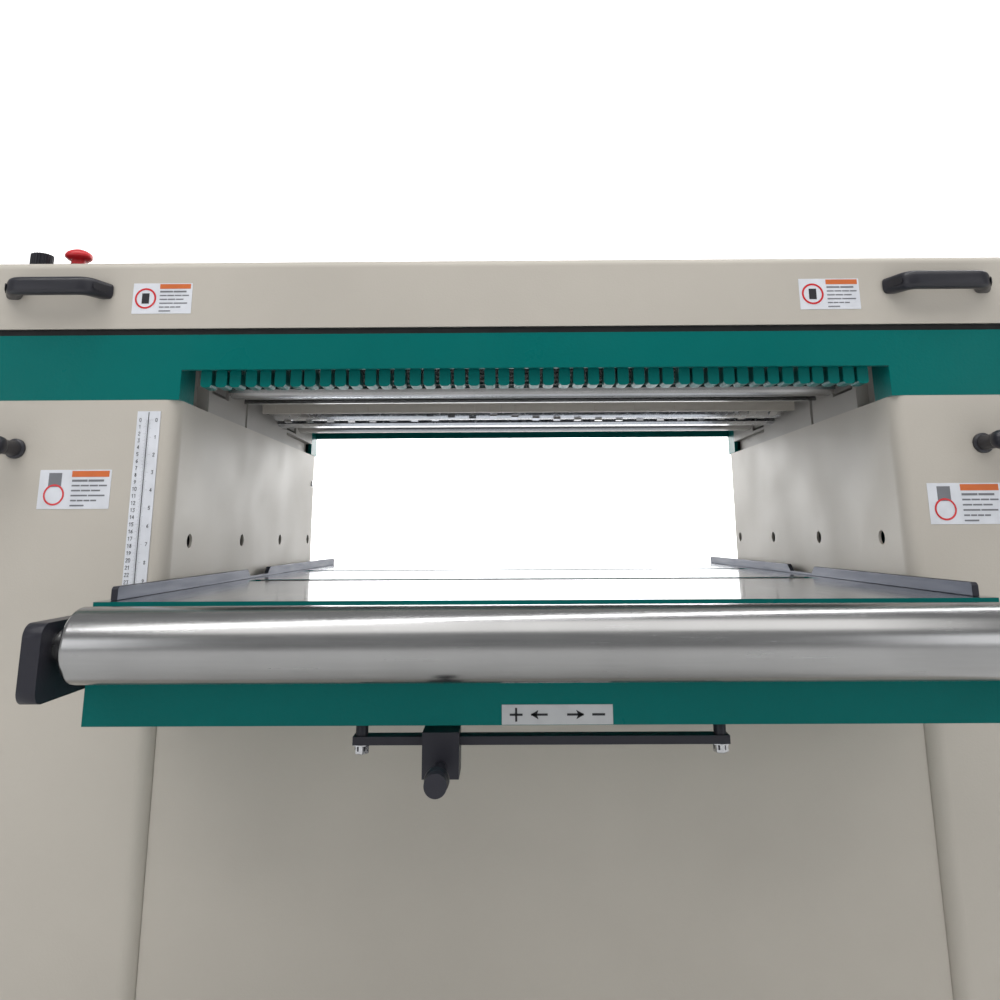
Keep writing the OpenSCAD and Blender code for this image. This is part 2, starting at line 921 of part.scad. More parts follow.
module control_panel() {
    z = hood_top;
    color(black) difference() {
        block([-790, -420, z], [-560, -325, z + 3]);
        for (x = [-738, -678, -618]) translate([x, control_y, z - 1]) cylinder(h = 5, r = 11);
    }
    color("silver") translate([-678, control_y, z + 3]) difference() {
        cylinder(h = 12, r = 15);
        translate([0, 0, -1]) cylinder(h = 14, r = 11);
    }
}

module emergency_stop() {
    color("red") translate([-678, control_y, hood_top + 5]) {
        cylinder(h = 26, r = 10.9);
        translate([0, 0, 18]) cylinder(h = 5, r1 = 14, r2 = 21);
        translate([0, 0, 23]) cylinder(h = 8, r = 21);
        translate([0, 0, 31]) cylinder(h = 6, r1 = 21, r2 = 12);
    }
}

module speed_knob() {
    color(black) translate([-738, control_y, hood_top + 3 + gap]) {
        linear_extrude(30) toothed_outline(17, 24, 1.5);
        translate([0, 0, -3]) cylinder(h = 3, r = 10.9);
    }
}

module start_button() {
    color("green") translate([-618, control_y, hood_top + 4]) {
        cylinder(h = 8, r = 10.9);
    }
}

module dust_port() {
    color(black) translate([tunnel_x, port_y, hood_top]) difference() {
        union() {
            cylinder(h = 6, r = port_r + 30);
            cylinder(h = 150, r = port_r);
        }
        translate([0, 0, -1]) cylinder(h = 160, r = port_r - 3);
    }
}

base_cabinet();
left_column();
right_column();
head_frame();
head_castings();
cutterhead_bearings();
pressure_bar();
guard_plate();
kickback_shaft();
main_motor();
drive_belts();
feed_gearmotor();
feed_chain();
lift_motor();
lift_chain();
guide_collars();
thickness_scale();
pull_handles();
leveling_feet();
cable_gland();
hood_seal();
hood_hinges();
table();
table_posts();
table_strips();
roller_brackets();
lever_guide_bar();
scale_pointer();
front_roller();
rear_roller();
bed_roller_blocks();
front_bed_roller();
rear_bed_roller();
bed_roller_lever();
lead_screw_front_left();
lead_screw_front_right();
lead_screw_rear_left();
lead_screw_rear_right();
cutterhead_drum();
cutter_inserts();
cutterhead_pulley();
motor_pulley();
infeed_bearing_blocks();
infeed_roller();
infeed_sprocket();
outfeed_bearing_blocks();
outfeed_roller();
outfeed_sprocket();
feed_drive_sprocket();
chip_breaker();
kickback_fingers();
hood();
hood_handles();
control_panel();
dust_port();
emergency_stop();
speed_knob();
start_button();
left_door();
right_door();
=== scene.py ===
"""Wide thickness planer: materials, detailed pieces, floor, lights and camera."""
import math

import bmesh
import bpy
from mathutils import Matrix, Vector


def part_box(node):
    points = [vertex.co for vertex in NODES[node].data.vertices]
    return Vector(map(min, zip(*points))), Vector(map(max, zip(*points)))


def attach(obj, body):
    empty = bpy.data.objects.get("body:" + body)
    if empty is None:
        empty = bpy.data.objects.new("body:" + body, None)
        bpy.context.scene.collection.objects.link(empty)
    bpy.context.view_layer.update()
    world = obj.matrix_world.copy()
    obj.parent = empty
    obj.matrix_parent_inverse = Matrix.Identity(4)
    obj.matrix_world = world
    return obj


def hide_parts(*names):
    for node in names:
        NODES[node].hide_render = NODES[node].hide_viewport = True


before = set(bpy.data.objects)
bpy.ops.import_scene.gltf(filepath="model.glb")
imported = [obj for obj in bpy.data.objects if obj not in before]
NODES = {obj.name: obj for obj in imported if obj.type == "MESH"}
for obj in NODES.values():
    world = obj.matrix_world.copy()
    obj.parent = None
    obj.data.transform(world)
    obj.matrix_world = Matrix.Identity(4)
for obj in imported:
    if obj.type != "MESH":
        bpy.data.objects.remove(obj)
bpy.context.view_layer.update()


# ---- camera -------------------------------------------------------------------------------

def make_camera():
    """The camera stands at the infeed side, low, and looks slightly up into the tunnel."""
    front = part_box("head_frame")[0].y
    data = bpy.data.cameras.new("camera")
    data.sensor_width = 36.0
    data.lens = 28.8
    data.shift_y = -0.137
    data.clip_start = 0.05
    camera = bpy.data.objects.new("camera", data)
    bpy.context.scene.collection.objects.link(camera)
    camera.location = (0.010, front - 1.163, 0.717)
    camera.rotation_euler = (math.radians(102.2), math.radians(0.3), math.radians(0.36))
    bpy.context.scene.camera = camera


make_camera()


# ---- materials ----------------------------------------------------------------------------

def srgb(r, g, b):
    """Linear colour from 0-255 display values."""
    def one(v):
        v /= 255.0
        return v / 12.92 if v <= 0.04045 else ((v + 0.055) / 1.055) ** 2.4
    return (one(r), one(g), one(b), 1.0)


def new_material(name):
    mat = bpy.data.materials.new(name)
    mat.use_nodes = True
    tree = mat.node_tree
    shader = tree.nodes["Principled BSDF"]
    return mat, tree, shader


def coordinates(tree, scale=(1, 1, 1)):
    """Object coordinates stretched by a scale, so that a pattern has a size in metres."""
    coord = tree.nodes.new("ShaderNodeTexCoord")
    mapping = tree.nodes.new("ShaderNodeMapping")
    mapping.inputs["Scale"].default_value = scale
    tree.links.new(coord.outputs["Object"], mapping.inputs["Vector"])
    return mapping.outputs["Vector"]


def noise(tree, vector, scale, detail=3.0, rough=0.5):
    node = tree.nodes.new("ShaderNodeTexNoise")
    node.inputs["Scale"].default_value = scale
    node.inputs["Detail"].default_value = detail
    node.inputs["Roughness"].default_value = rough
    tree.links.new(vector, node.inputs["Vector"])
    return node.outputs["Fac"]


def ramp(tree, value, stops):
    """Colour ramp over (position, colour) stops."""
    node = tree.nodes.new("ShaderNodeValToRGB")
    elements = node.color_ramp.elements
    while len(elements) < len(stops):
        elements.new(0.5)
    for element, (place, colour) in zip(elements, stops):
        element.position = place
        element.color = colour
    tree.links.new(value, node.inputs["Fac"])
    return node.outputs["Color"]


def grey(v):
    return (v, v, v, 1.0)


def bump(tree, shader, height, strength, distance):
    node = tree.nodes.new("ShaderNodeBump")
    node.inputs["Strength"].default_value = strength
    node.inputs["Distance"].default_value = distance
    tree.links.new(height, node.inputs["Height"])
    tree.links.new(node.outputs["Normal"], shader.inputs["Normal"])


def shade(colour, k):
    return (colour[0] * k, colour[1] * k, colour[2] * k, 1.0)


def paint(name, colour, rough=0.42, grain=420.0, depth=0.0004, spread=0.05, level=0.3):
    """Sprayed paint with an orange-peel skin and soft cloudy variation."""
    mat, tree, shader = new_material(name)
    vector = coordinates(tree)
    cloud = noise(tree, vector, 3.0, 4.0)
    base = ramp(tree, cloud, [(0.3, shade(colour, 1 - spread)), (0.7, shade(colour, 1 + spread))])
    shader.inputs["Specular IOR Level"].default_value = level
    tree.links.new(base, shader.inputs["Base Color"])
    worn = noise(tree, vector, 9.0, 5.0)
    tree.links.new(ramp(tree, worn, [(0.3, grey(rough - 0.06)), (0.7, grey(rough + 0.08))]),
                   shader.inputs["Roughness"])
    bump(tree, shader, noise(tree, vector, grain, 2.0), 0.35, depth)
    return mat


def metal(name, colour, rough=0.3, stretch=(1, 1, 1), scale=60.0, spread=0.15, depth=0.0002, edge=1.0):
    """Machined metal whose fine marks are stretched along one direction; edge tints low angles."""
    mat, tree, shader = new_material(name)
    shader.inputs["Metallic"].default_value = 1.0
    shader.inputs["Specular Tint"].default_value = grey(edge)
    vector = coordinates(tree, stretch)
    marks = noise(tree, vector, scale, 6.0, 0.65)
    plain = coordinates(tree)
    stain = noise(tree, plain, 6.0, 4.0)
    mix = tree.nodes.new("ShaderNodeMix")
    mix.data_type = "RGBA"
    mix.blend_type = "MULTIPLY"
    mix.inputs[0].default_value = 0.8
    tree.links.new(ramp(tree, marks, [(0.3, shade(colour, 1 - spread)), (0.7, shade(colour, 1 + spread))]),
                   mix.inputs[6])
    tree.links.new(ramp(tree, stain, [(0.35, grey(0.82)), (0.65, grey(1.0))]), mix.inputs[7])
    tree.links.new(mix.outputs[2], shader.inputs["Base Color"])
    swing = min(spread, 0.11)
    tree.links.new(ramp(tree, marks, [(0.3, grey(max(rough - swing, 0.03))), (0.7, grey(rough + swing))]),
                   shader.inputs["Roughness"])
    bump(tree, shader, marks, 0.25, depth)
    return mat


def plastic(name, colour, rough=0.45, grain=700.0, coat=0.0):
    """Moulded plastic with a fine grain."""
    mat, tree, shader = new_material(name)
    vector = coordinates(tree)
    soft = noise(tree, vector, 30.0, 3.0)
    tree.links.new(ramp(tree, soft, [(0.3, shade(colour, 0.92)), (0.7, shade(colour, 1.06))]),
                   shader.inputs["Base Color"])
    tree.links.new(ramp(tree, soft, [(0.3, grey(rough - 0.05)), (0.7, grey(rough + 0.07))]),
                   shader.inputs["Roughness"])
    shader.inputs["Coat Weight"].default_value = coat
    bump(tree, shader, noise(tree, vector, grain, 2.0), 0.2, 0.0002)
    return mat


BEIGE = paint("beige_paint", srgb(196, 190, 180), rough=0.46)
GREEN = paint("green_paint", srgb(0, 108, 104), rough=0.32, grain=240.0, depth=0.0008, level=0.12)
DARK = paint("dark_paint", srgb(44, 44, 52), rough=0.38, grain=300.0)
ROLLER = metal("roller_steel", (0.38, 0.38, 0.38, 1), 0.24, (2.5, 60, 60), 4.0, 0.04, 0.00001)
TABLE_TOP = metal("table_top_steel", (0.66, 0.69, 0.74, 1), 0.12, (60, 2.0, 40), 4.0, 0.05, 0.00001, 0.7)
GROUND = metal("ground_steel", (0.60, 0.61, 0.63, 1), 0.22, (1, 1, 1), 90.0, 0.12)
STRIP = metal("strip_steel", (0.062, 0.068, 0.088, 1), 0.5, (30, 2, 30), 5.0, 0.25)
CAST = paint("machined_casting", srgb(176, 172, 166), rough=0.5, grain=160.0, depth=0.0006)
BRONZE = metal("bronze", (0.46, 0.30, 0.13, 1), 0.35)
CHAIN = metal("chain_steel", (0.10, 0.10, 0.11, 1), 0.45)
RUBBER = plastic("rubber", srgb(22, 22, 24), rough=0.75)
BLACK = plastic("black_plastic", srgb(36, 36, 44), rough=0.36)
RED = plastic("red_plastic", srgb(214, 28, 38), rough=0.3, coat=0.4)
LAMP_GREEN = plastic("green_plastic", srgb(30, 140, 60), rough=0.3, coat=0.4)
WHITE = plastic("white_plate", srgb(226, 229, 236), rough=0.45)
INK = plastic("printed_ink", srgb(34, 34, 40), rough=0.5)
ORANGE = plastic("orange_ink", srgb(214, 110, 52), rough=0.45)
GREY_INK = plastic("grey_ink", srgb(120, 122, 128), rough=0.5)
PLATE_GREY = plastic("light_plate", srgb(196, 198, 200), rough=0.4)
INSERT = metal("insert_carbide", (0.78, 0.78, 0.80, 1), 0.14, (1, 1, 1), 200.0, 0.1)

NODE_MATERIALS = {
    BEIGE: ["base_cabinet", "left_column", "right_column", "hood", "left_door", "right_door",
            "chip_breaker"],
    GREEN: ["head_frame", "kickback_fingers", "main_motor", "feed_gearmotor", "lift_motor",
            "table"],
    DARK: ["roller_brackets", "lever_guide_bar", "bed_roller_lever", "bed_roller_blocks",
           "leveling_feet"],
    ROLLER: ["front_roller", "rear_roller", "infeed_roller", "guard_plate", "kickback_shaft",
             "outfeed_roller"],
    GROUND: ["cutterhead_drum", "cutterhead_pulley", "motor_pulley", "infeed_sprocket",
             "outfeed_sprocket", "feed_drive_sprocket", "hood_hinges", "table_posts",
             "lead_screw_front_left", "lead_screw_front_right", "lead_screw_rear_left",
             "lead_screw_rear_right", "pressure_bar", "cutterhead_bearings"],
    CAST: ["head_castings", "infeed_bearing_blocks", "outfeed_bearing_blocks"],
    STRIP: ["table_strips"],
    CHAIN: ["feed_chain", "lift_chain", "front_bed_roller", "rear_bed_roller"],
    BRONZE: ["guide_collars"],
    RUBBER: ["drive_belts", "hood_seal"],
    BLACK: ["pull_handles", "hood_handles", "control_panel", "speed_knob", "cable_gland",
            "dust_port"],
    RED: ["emergency_stop", "scale_pointer"],
    LAMP_GREEN: ["start_button"],
    WHITE: ["thickness_scale"],
    INSERT: ["cutter_inserts"],
}


def paint_nodes():
    for mat, names in NODE_MATERIALS.items():
        for name in names:
            slots = NODES[name].data.materials
            slots.clear()
            slots.append(mat)


paint_nodes()


def second_material(node, mat, chosen):
    """Gives the chosen faces of a node another finish."""
    mesh = NODES[node].data
    mesh.materials.append(mat)
    for face in mesh.polygons:
        face.material_index = 1 if chosen(face) else 0


def finish_faces():
    """Ground top on the green table casting, and dark ends on its side strips."""
    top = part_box("table")[1].z
    second_material("table", TABLE_TOP, lambda f: f.center.z > top - 0.0005)
    strips_low, strips_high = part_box("table_strips")
    second_material("table_strips", DARK, lambda f: abs(f.normal.y) > 0.6 and (
        f.center.y < strips_low.y + 0.02 or f.center.y > strips_high.y - 0.02))


finish_faces()


def soften_edges(width, names):
    """Breaks the sharp edges of CAD nodes, so that they catch light as real edges do."""
    for name in names:
        weld = NODES[name].modifiers.new("weld", "WELD")
        weld.merge_threshold = 0.00002
        bevel = NODES[name].modifiers.new("bevel", "BEVEL")
        bevel.width = width
        bevel.segments = 2
        bevel.limit_method = "ANGLE"
        bevel.angle_limit = math.radians(40)
        bevel.harden_normals = True


soften_edges(0.0022, ["roller_brackets"])
soften_edges(0.0010, ["control_panel", "lever_guide_bar", "table_strips", "head_frame"])


# ---- mesh tools ---------------------------------------------------------------------------

def finish_piece(name, bm, mats, body, replaces=(), angle=32.0):
    """Turns a bmesh into a piece that rides on a body, smooth except at sharp edges."""
    bmesh.ops.recalc_face_normals(bm, faces=bm.faces)
    limit = math.radians(angle)
    for face in bm.faces:
        face.smooth = True
    for edge in bm.edges:
        edge.smooth = len(edge.link_faces) == 2 and edge.calc_face_angle(0.0) < limit
    mesh = bpy.data.meshes.new(name)
    bm.to_mesh(mesh)
    bm.free()
    piece = bpy.data.objects.new(name, mesh)
    bpy.context.scene.collection.objects.link(piece)
    for mat in mats:
        mesh.materials.append(mat)
    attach(piece, body)
    if replaces:
        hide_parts(*replaces)
    return piece


def add_lathe(bm, profile, origin, axis, steps=48, index=0):
    """Adds a turned solid; the profile is (distance along the axis, radius) pairs."""
    axis = Vector(axis).normalized()
    side = axis.orthogonal().normalized()
    other = axis.cross(side)
    origin = Vector(origin)
    rings = []
    for along, radius in profile:
        centre = origin + axis * along
        if radius < 1e-6:
            rings.append([bm.verts.new(centre)])
            continue
        turn = [2 * math.pi * i / steps for i in range(steps)]
        rings.append([bm.verts.new(centre + (side * math.cos(a) + other * math.sin(a)) * radius)
                      for a in turn])
    for low, high in zip(rings, rings[1:]):
        if len(low) == 1 and len(high) == 1:
            continue
        for i in range(steps):
            j = (i + 1) % steps
            if len(low) == 1:
                corners = (low[0], high[i], high[j])
            elif len(high) == 1:
                corners = (low[i], high[0], low[j])
            else:
                corners = (low[i], high[i], high[j], low[j])
            bm.faces.new(corners).material_index = index


def add_box(bm, low, high, bevel=0.0, segments=2, index=0):
    """Adds a box between two corners, with its edges rounded by bevel."""
    low = Vector(low)
    high = Vector(high)
    made = bmesh.ops.create_cube(bm, size=1.0)["verts"]
    bmesh.ops.scale(bm, vec=high - low, verts=made)
    bmesh.ops.translate(bm, vec=(low + high) / 2, verts=made)
    for face in {f for v in made for f in v.link_faces}:
        face.material_index = index
    if bevel > 0:
        edges = list({e for v in made for e in v.link_edges})
        result = bmesh.ops.bevel(bm, geom=edges, offset=bevel, segments=segments, profile=0.5,
                                 affect="EDGES")
        for face in result["faces"]:
            face.material_index = index


def add_prism(bm, outline, origin, u, v, thickness, index=0):
    """Adds a flat outline, given in the u-v plane, pushed along u x v by a thickness."""
    u = Vector(u)
    v = Vector(v)
    push = u.cross(v).normalized() * thickness
    origin = Vector(origin)
    low = [bm.verts.new(origin + u * a + v * b) for a, b in outline]
    high = [bm.verts.new(p.co + push) for p in low]
    faces = [bm.faces.new(low[::-1]), bm.faces.new(high)]
    for i in range(len(outline)):
        j = (i + 1) % len(outline)
        faces.append(bm.faces.new((low[i], low[j], high[j], high[i])))
    for face in faces:
        face.material_index = index


def add_sweep(bm, path, section, up, index=0):
    """Adds a bar along a path; section(i) gives its (sideways, upwards) outline at point i."""
    rings = []
    last = len(path) - 1
    up = Vector(up)
    for i, place in enumerate(path):
        along = path[min(i + 1, last)] - path[max(i - 1, 0)]
        side = along.cross(up).normalized()
        rings.append([bm.verts.new(place + side * a + up * b) for a, b in section(i)])
    n = len(rings[0])
    for low, high in zip(rings, rings[1:]):
        for k in range(n):
            j = (k + 1) % n
            bm.faces.new((low[k], low[j], high[j], high[k])).material_index = index
    bm.faces.new(rings[0][::-1]).material_index = index
    bm.faces.new(rings[-1]).material_index = index


def arc(cx, cy, r, start, end, steps=8):
    """Points of a circular arc, angles in degrees."""
    turn = [math.radians(start + (end - start) * i / steps) for i in range(steps + 1)]
    return [(cx + r * math.cos(a), cy + r * math.sin(a)) for a in turn]


def round_box(half_a, half_b, r, steps=4):
    """Outline of a rounded rectangle about the origin."""
    points = []
    for sa, sb, start in ((1, 1, 0), (-1, 1, 90), (-1, -1, 180), (1, -1, 270)):
        points += arc(sa * (half_a - r), sb * (half_b - r), r, start, start + 90, steps)
    return points


def round_path(points, r, steps=6):
    """A line of straight runs whose corners are rounded by r."""
    path = [points[0]]
    for before, at, after in zip(points, points[1:], points[2:]):
        a = at + (before - at).normalized() * r
        b = at + (after - at).normalized() * r
        for i in range(steps + 1):
            t = i / steps
            path.append(a * (1 - t) ** 2 + at * (2 * t * (1 - t)) + b * t * t)
    return path + [points[-1]]


def cap_screw(bm, place, axis, r=0.008, height=0.006, index=0):
    """Adds the head of a socket cap screw."""
    profile = [(0, 0), (0, r), (height * 0.8, r), (height, r * 0.85), (height, r * 0.5),
               (height * 0.5, r * 0.45), (height * 0.5, 0)]
    add_lathe(bm, profile, place, axis, 20, index)


def hex_head(bm, place, axis, r=0.008, height=0.006, index=0):
    """Adds the hexagonal head of a bolt on a round washer."""
    add_lathe(bm, [(0, 0), (0, r * 1.3), (0.0012, r * 1.3), (0.0012, 0)], place, axis, 24, index)
    add_lathe(bm, [(0.0012, 0), (0.0012, r), (height - 0.001, r), (height, r * 0.86), (height, 0)],
              place, axis, 6, index)


# ---- where things are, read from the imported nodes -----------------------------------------

FRONT_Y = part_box("head_frame")[0].y
TABLE_LOW, TABLE_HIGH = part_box("table")
PANEL_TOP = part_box("control_panel")[0].z + 0.003
PLATE_THICK = 0.0006
PLATE_GAP = 0.00005
INK_LIFT = 0.0003


def middle(node):
    """The x, y and z of the middle of a node's box."""
    low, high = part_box(node)
    return (low.x + high.x) / 2, (low.y + high.y) / 2, (low.z + high.z) / 2


# ---- support rollers ----------------------------------------------------------------------

def support_roller(node):
    """Ground tube with rounded rims, recessed ends and a stepped journal."""
    low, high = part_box(node)
    x, y, z = middle(node)
    r = (high.z - low.z) / 2
    x0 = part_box("table_strips")[0].x
    rim = [(x0 + 0.007 - 0.007 * math.cos(t), r - 0.007 + 0.007 * math.sin(t))
           for t in (0.0, 0.3, 0.6, 0.9, 1.2, math.pi / 2)]
    profile = [(low.x, 0), (low.x, 0.0135), (low.x + 0.0015, 0.015), (x0 - 0.013, 0.015),
               (x0 - 0.013, 0.018), (x0 - 0.003, 0.018), (x0 - 0.003, 0.012), (x0 + 0.005, 0.012),
               (x0 + 0.005, r - 0.013), (x0, r - 0.011)] + rim
    whole = profile + [(2 * x - a, b) for a, b in profile[::-1]]
    bm = bmesh.new()
    add_lathe(bm, whole, (0, y, z), (1, 0, 0), 96)
    finish_piece(node + "_tube", bm, [ROLLER], node, [node], 25)


for roller in ("front_roller", "rear_roller"):
    support_roller(roller)


# ---- handles ------------------------------------------------------------------------------

def hood_handle(index, x0, x1):
    """Moulded bridge handle: a straight grip between two slanted legs, with screw pockets."""
    low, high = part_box("hood_handles")
    wall = high.y
    z = (low.z + high.z) / 2
    half = (high.z - low.z) / 2
    front = low.y + 0.010
    corners = [Vector((x0 + 0.012, wall + 0.003, z)), Vector((x0 + 0.029, front, z)),
               Vector((x1 - 0.029, front, z)), Vector((x1 - 0.012, wall + 0.003, z))]
    path = round_path(corners, 0.011)
    last = len(path) - 1

    def section(i):
        foot = i in (0, last)
        return round_box(0.012 if foot else 0.0098, half * (0.88 if foot else 1.0), 0.0078)

    bm = bmesh.new()
    add_sweep(bm, path, section, (0, 0, 1))
    for end, foot, knee in ((-1, corners[0], corners[1]), (1, corners[3], corners[2])):
        along = (foot - knee).normalized()
        outward = Vector((along.y * end, -along.x * end, 0))
        outline = arc(0.0075, 0, 0.0056, -90, 90) + arc(-0.0075, 0, 0.0056, 90, 270)
        place = foot.lerp(knee, 0.55) + outward * 0.0104
        add_prism(bm, outline, place, along, (0, 0, end), 0.0012, 1)
    finish_piece("hood_handle_%d" % index, bm, [BLACK, INK], "hood",
                 ["hood_handles"], 40)


def hood_handles():
    low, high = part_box("hood_handles")
    span = 0.166
    hood_handle(1, low.x, low.x + span)
    hood_handle(2, high.x - span, high.x)


def pull_handles():
    """Round-footed bar handles on the column fronts."""
    low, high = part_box("pull_handles")
    wall = high.y
    y = low.y + (high.z - low.z) / 2
    z = (low.z + high.z) / 2
    length = 0.136
    half_grip = [(0, 0), (0.0012, 0.006), (0.004, 0.0105), (0.009, 0.0128), (0.014, 0.0135),
                 (0.020, 0.0128), (0.026, 0.0108), (0.034, 0.0106), (0.044, 0.0125),
                 (0.058, 0.0138), (0.068, 0.014)]
    grip = half_grip + [(length - a, b) for a, b in half_grip[-2::-1]]
    reach = wall - y
    foot = [(0, 0), (0, 0.0115), (0.012, 0.0105), (reach - 0.016, 0.0105),
            (reach - 0.006, 0.0115), (reach - 0.004, 0.0145), (reach, 0.0145), (reach, 0)]
    bm = bmesh.new()
    for x0 in (low.x, high.x - length):
        add_lathe(bm, grip, (x0, y, z), (1, 0, 0), 40)
        for x in (x0 + 0.014, x0 + length - 0.014):
            add_lathe(bm, foot, (x, y, z), (0, 1, 0), 36)
    finish_piece("column_pull_handles", bm, [BLACK], "frame",
                 ["pull_handles"], 45)


hood_handles()
pull_handles()


# ---- kickback fingers ---------------------------------------------------------------------

def kickback_fingers():
    """A row of flat fingers with rounded lower corners, each with a hub on the shaft."""
    low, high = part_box("kickback_fingers")
    shaft_low, shaft_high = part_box("kickback_shaft")
    _, y, z = middle("kickback_shaft")
    shaft_r = (shaft_high.z - shaft_low.z) / 2
    count = 45
    width = 0.0165
    pitch = (high.x - low.x - width) / (count - 1)
    half = width / 2
    drop = low.z - z
    r = 0.0052
    neck = half - 0.0022
    outline = ([(half, -0.030)] + arc(half - r, drop + r, r, 0, -90, 6)
               + arc(-half + r, drop + r, r, -90, -180, 6)
               + [(-half, -0.030), (-neck, -0.024), (-neck, 0.0), (neck, 0.0), (neck, -0.024)])
    hub = [(0, shaft_r + 0.0001), (0, 0.0135), (0.0012, 0.0148), (2 * neck - 0.0012, 0.0148),
           (2 * neck, 0.0135), (2 * neck, shaft_r + 0.0001), (0, shaft_r + 0.0001)]
    bm = bmesh.new()
    for i in range(count):
        x = low.x + half + i * pitch
        lean = 0.0009 * math.sin(i * 2.4)
        add_prism(bm, outline, (x + lean, y + 0.0138, z), (1, 0, 0), (0, 0, 1), 0.0276)
        add_lathe(bm, hub, (x - neck + lean, y, z), (1, 0, 0), 28)
    finish_piece("kickback_finger_row", bm, [GREEN], "kickback_fingers",
                 ["kickback_fingers"])


kickback_fingers()


# ---- printed marks and plates -------------------------------------------------------------

DIGITS = {
    "0": [(0.4, 0), (1.6, 0), (2, 1), (2, 3), (1.6, 4), (0.4, 4), (0, 3), (0, 1), (0.4, 0)],
    "1": [(0.3, 3.2), (1.2, 4), (1.2, 0)],
    "2": [(0, 3.3), (0.5, 4), (1.5, 4), (2, 3.2), (0, 0), (2, 0)],
    "3": [(0, 4), (2, 4), (1, 2.4), (2, 1.2), (1.4, 0), (0, 0.2)],
    "4": [(1.5, 0), (1.5, 4), (0, 1.3), (2, 1.3)],
    "5": [(2, 4), (0.2, 4), (0, 2.3), (1.4, 2.4), (2, 1.2), (1.3, 0), (0, 0.2)],
    "6": [(1.7, 4), (0.4, 2.6), (0, 1), (1, 0), (2, 1), (1.4, 2.2), (0.2, 1.8)],
    "7": [(0, 4), (2, 4), (0.7, 0)],
    "8": [(1, 2.2), (0.2, 3.2), (1, 4), (1.8, 3.2), (1, 2.2), (0, 1), (1, 0), (2, 1), (1, 2.2)],
    "9": [(0.3, 0), (1.6, 1.4), (2, 3), (1, 4), (0, 3), (0.6, 1.8), (1.8, 2.2)],
}


def ink_line(bm, a, b, width, y, index=0):
    """A flat printed stroke in the X-Z plane, facing the front."""
    a = Vector((a[0], y, a[1]))
    b = Vector((b[0], y, b[1]))
    along = (b - a).normalized() * (width / 2)
    side = Vector((along.z, 0, -along.x))
    corners = [a - along - side, b + along - side, b + along + side, a - along + side]
    bm.faces.new([bm.verts.new(c) for c in corners]).material_index = index


def ink_number(bm, value, x, z, height, y):
    """Prints a whole number centred on a point."""
    unit = height / 4
    text = str(value)
    left = x - (len(text) * 3 - 1) * unit / 2
    for place, digit in enumerate(text):
        points = [(left + (place * 3 + a) * unit, z + (b - 2) * unit) for a, b in DIGITS[digit]]
        for a, b in zip(points, points[1:]):
            ink_line(bm, a, b, height * 0.13, y)


def scale_marks():
    """Millimetre marks on the left half of the scale and sixteenths of an inch on the right."""
    low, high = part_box("thickness_scale")
    y = low.y - 0.0004
    centre = (low.x + high.x) / 2
    zero = high.z - 0.013
    inset = 0.0008
    bm = bmesh.new()
    ink_line(bm, (centre, low.z + 0.002), (centre, high.z - 0.002), 0.0010, y)
    for i in range(int((zero - low.z - 0.004) / 0.001) + 1):
        reach = 0.0052 if i % 10 == 0 else 0.0038 if i % 5 == 0 else 0.0022
        z = zero - i * 0.001
        ink_line(bm, (centre - reach - inset, z), (centre - inset, z), 0.00013, y)
        if i % 10 == 0 and z > low.z + 0.006:
            ink_number(bm, i // 10, low.x + 0.0052, z, 0.0048, y)
    step = 0.0254 / 16
    for i in range(int((zero - low.z - 0.004) / step) + 1):
        reach = 0.0056 if i % 16 == 0 else 0.0038 if i % 8 == 0 else 0.0022
        z = zero - i * step
        ink_line(bm, (centre + inset, z), (centre + reach + inset, z), 0.00015, y)
        if i % 16 == 0 and z > low.z + 0.006:
            ink_number(bm, i // 16, high.x - 0.0052, z, 0.0048, y)
    finish_piece("scale_marks", bm, [INK], "frame")


def ring(bm, x, z, r, width, y, index):
    """A flat printed ring facing the front."""
    turn = [2 * math.pi * i / 40 for i in range(40)]
    inner = [bm.verts.new((x + (r - width) * math.cos(a), y, z + (r - width) * math.sin(a)))
             for a in turn]
    outer = [bm.verts.new((x + r * math.cos(a), y, z + r * math.sin(a))) for a in turn]
    for i in range(40):
        j = (i + 1) % 40
        bm.faces.new((inner[i], outer[i], outer[j], inner[j])).material_index = index


